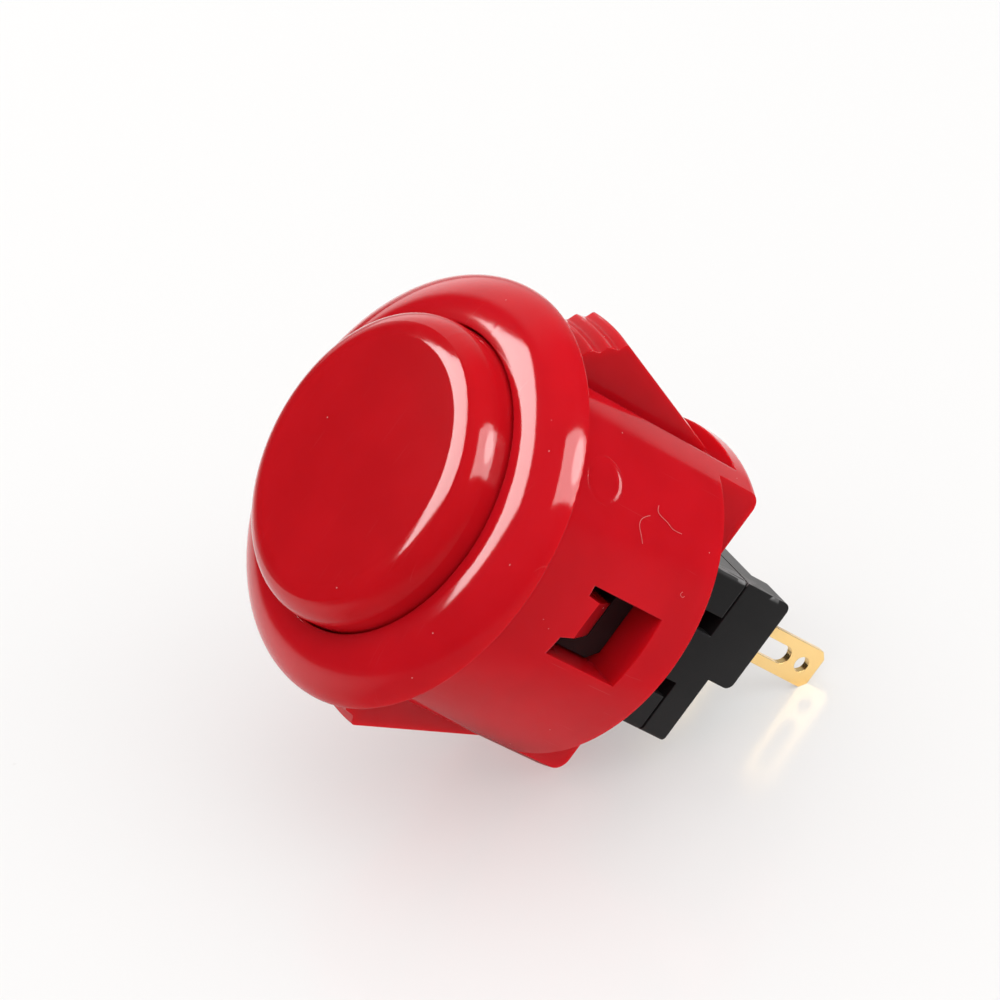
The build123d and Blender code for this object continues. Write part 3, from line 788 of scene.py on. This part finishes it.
# %% [markdown]
# ## Light
#
# Most of the light is the wide, even light of a white ceiling, which belongs to the surroundings below.
# The boxes here are what the gloss mirrors, and the highlights tell where they stood. Each curved edge
# shows two: a long crisp arc, which is a wide box on the left, and a shorter one with a bright middle
# from a tall box on the right that leans over. A mirror direction worked out at each arc gives the
# bearing and the height of its box. Bearings are counted from straight away from the camera, clockwise
# seen from above. A box that only shows in the gloss is hidden from diffuse light. The bright middle of
# the right box is a smaller lamp before it, as a flash head shows through cloth.


# %% Soft boxes
LAMP_TINT = (1.0, 0.99, 0.98)


def aim(bearing, height):
    """Unit vector from the button towards a bearing and a height in degrees."""
    bearing, height = math.radians(bearing), math.radians(height)
    level = math.cos(bearing) * floor_back + math.sin(bearing) * floor_right
    return math.cos(height) * level + math.sin(height) * floor_up


def soft_box(name, shape, toward, distance, width, depth, roll, watts, lights):
    """Lamp that faces the button. A positive roll leans its top clockwise, as the button sees it."""
    lamp = bpy.data.lights.new(name, "AREA")
    lamp.shape = shape
    lamp.size = width
    lamp.size_y = depth
    lamp.energy = watts
    lamp.color = LAMP_TINT
    box = bpy.data.objects.new(name, lamp)
    scene.collection.objects.link(box)
    side = floor_up.cross(toward).normalized()
    tall = toward.cross(side)
    roll = math.radians(roll)
    leaning_side = math.cos(roll) * side + math.sin(roll) * tall
    leaning_tall = math.cos(roll) * tall - math.sin(roll) * side
    turn = Matrix((leaning_side, leaning_tall, toward)).transposed()
    box.matrix_world = Matrix.Translation(middle + distance * toward) @ turn.to_4x4()
    box.visible_diffuse = lights
    print(name, "at", [round(v, 2) for v in box.location], "m,", watts, "W")


LEFT_SIZE = (0.365, 0.255)
RIGHT_SIZE = (0.36, 0.82)
CORE_SIZE = (0.22, 0.36)
LEFT_WAY = aim(-71.0, 39.5)
RIGHT_WAY = aim(113.0, 37.0)
CORE_WAY = aim(104.0, 28.0)
UPRIGHT = 0.0
LEANING = 31.0
FAR = 0.60
BEFORE_IT = 0.595
FOREMOST = 0.59
soft_box("left_box", "RECTANGLE", LEFT_WAY, FAR, *LEFT_SIZE, UPRIGHT, watts=2.55, lights=False)
soft_box("right_box", "RECTANGLE", RIGHT_WAY, FAR, *RIGHT_SIZE, LEANING, watts=0.80, lights=True)
soft_box("right_sheen", "RECTANGLE", RIGHT_WAY, BEFORE_IT, *RIGHT_SIZE, LEANING, watts=3.90, lights=False)
soft_box("right_core", "ELLIPSE", CORE_WAY, FOREMOST, *CORE_SIZE, LEANING, watts=0.95, lights=False)

# %% [markdown]
# ## Surroundings
#
# Behind the floor the camera sees plain white. The button itself must not see so much white from all
# sides, or the gloss would cover the red with a pale veil. So the world gives white to the camera, and to
# everything that isn't a reflection the light of a white ceiling, strongest straight above. Reflections
# find a pale glow on the backdrop, a little left of straight away, and below the horizon the same sheet
# as on the floor. The sheet's sharp edge on the right is what ends the pale band along the top of the
# body.

# %% World
AMBIENT = 0.04
CEILING = 1.68
GLOSS_DARK = 0.03
GLOW_WAY = aim(-17.0, 3.0)
GLOW_CORE = 1.30
GLOW_FOCUS = 14.0
GLOW_WIDE = 0.45
GLOW_LEFT_END = -33.0
WHITE = (1.0, 1.0, 1.0, 1.0)


def horizon(bearing):
    """Level direction towards a bearing."""
    return aim(bearing, 0.0)


world = bpy.data.worlds.new("studio")
scene.world = world
studio = Finish(world)
camera_ray = studio.node("ShaderNodeLightPath", output="Is Camera Ray")
mirror = studio.node("ShaderNodeLightPath", output="Is Glossy Ray")
toward = studio.node("ShaderNodeTexCoord", output="Generated")
rise = along(studio, toward, floor_up)
lighting = AMBIENT + rise.largest(0.0) * CEILING
near_glow = along(studio, toward, GLOW_WAY).largest(0.0)
backdrop = near_glow ** GLOW_FOCUS * GLOW_CORE + step(studio, near_glow, 0.45, 0.90) * GLOW_WIDE
right_of_end = along(studio, toward, horizon(GLOW_LEFT_END + QUARTER_TURN))
backdrop = backdrop * step(studio, right_of_end, -0.06, 0.10)
below_near = 1.0 - step(studio, rise, -0.35, 0.0)
far_sheet = sheet_in_gloss(studio, toward, horizon, below_near)
above = step(studio, rise, -0.02, 0.02)
gloss = GLOSS_DARK + backdrop * above + far_sheet * (1.0 - above)
level = lighting + mirror * (gloss - lighting)
level = level * (1.0 - camera_ray) + camera_ray
glow = studio.node("ShaderNodeBackground", None, {"Color": WHITE, "Strength": level}, "Background")
studio.close("ShaderNodeOutputWorld", glow)
print("world:", world.name)
